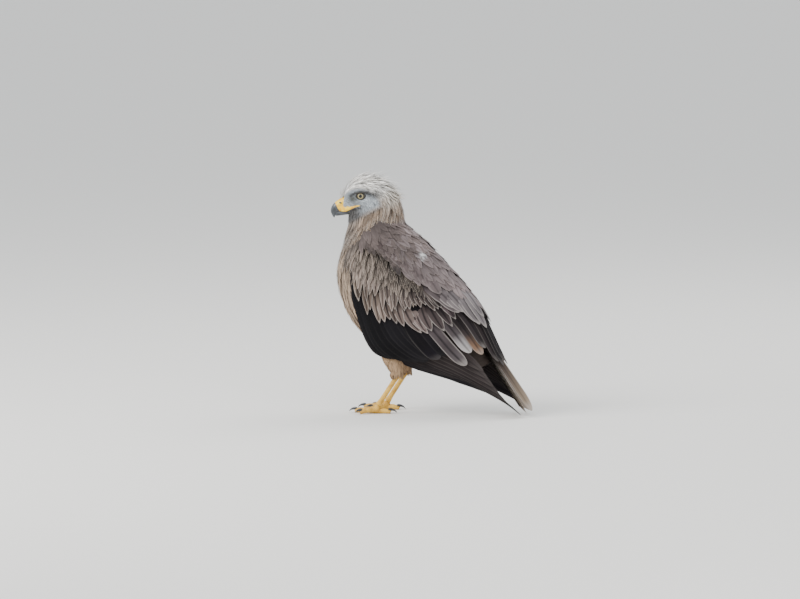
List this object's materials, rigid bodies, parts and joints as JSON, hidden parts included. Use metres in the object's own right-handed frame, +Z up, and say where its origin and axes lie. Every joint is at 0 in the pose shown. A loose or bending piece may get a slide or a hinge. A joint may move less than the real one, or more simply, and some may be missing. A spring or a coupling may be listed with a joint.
{
  "type": "black kite bird",
  "caption": "Life-size still model of a standing black kite: hooked bill, folded layered wings, long tail, feathered thighs and clawed yellow feet.",
  "frame": {"origin": "on the ground under the middle of the bird's outline", "axes": "+Z up, -Y the way the bird faces, +X the bird's left side"},
  "size_m": [0.133, 0.3354, 0.3957],
  "materials": {
    "body_feathers": "matte",
    "head_feathers": "matte",
    "flight_feathers": "satin",
    "yellow_skin": "satin",
    "horn": "gloss",
    "eye": "gloss"
  },
  "bodies": {
    "root": {"torso": "body_feathers", "neck": "head_feathers", "head": "head_feathers", "cere": "yellow_skin", "bill_upper": "horn", "bill_lower": "horn", "eye_left": "eye", "eye_right": "eye", "wing_left": "flight_feathers", "wing_right": "flight_feathers", "tail": "flight_feathers", "thigh_left": "body_feathers", "tarsus_left": "yellow_skin", "foot_left": "yellow_skin", "claw_middle_left": "horn", "claw_inner_left": "horn", "claw_outer_left": "horn", "claw_hind_left": "horn", "thigh_right": "body_feathers", "tarsus_right": "yellow_skin", "foot_right": "yellow_skin", "claw_middle_right": "horn", "claw_inner_right": "horn", "claw_outer_right": "horn", "claw_hind_right": "horn"}
  },
  "joints": []
}
